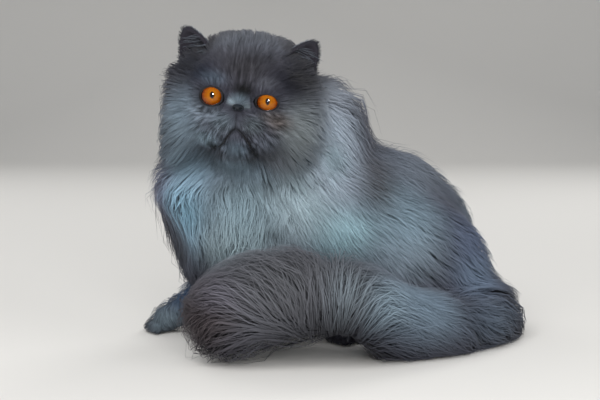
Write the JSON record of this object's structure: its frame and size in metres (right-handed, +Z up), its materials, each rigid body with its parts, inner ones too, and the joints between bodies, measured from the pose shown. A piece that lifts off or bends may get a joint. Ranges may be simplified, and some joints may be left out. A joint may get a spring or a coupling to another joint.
{
  "type": "persian cat",
  "caption": "Still, life-size seated long-haired cat with a flat face, round eyes, small ears, full ruff and a bushy tail curled round in front.",
  "frame": {"origin": "middle of the bounding box, on the floor", "axes": "+Z up; the face looks along -Y, the body runs back towards +X and +Y; the cat's left side faces -Y and +X"},
  "size_m": [0.3792, 0.3822, 0.306],
  "materials": {
    "coat": "long soft blue-grey hair, darker on the brow, ears and tail",
    "eye": "wet, clear cornea over an orange iris",
    "nose_leather": "dark, fine-grained and slightly moist"
  },
  "bodies": {
    "root": {"eye_left": "eye", "eye_right": "eye", "nose": "nose_leather", "head": "coat", "ear_left": "coat", "ear_right": "coat", "ruff": "coat", "torso": "coat", "foreleg_left": "coat", "hindleg_left": "coat", "foreleg_right": "coat", "hindleg_right": "coat", "tail_base": "coat", "tail_middle": "coat", "tail_bend": "coat", "tail_tip": "coat"}
  },
  "joints": []
}
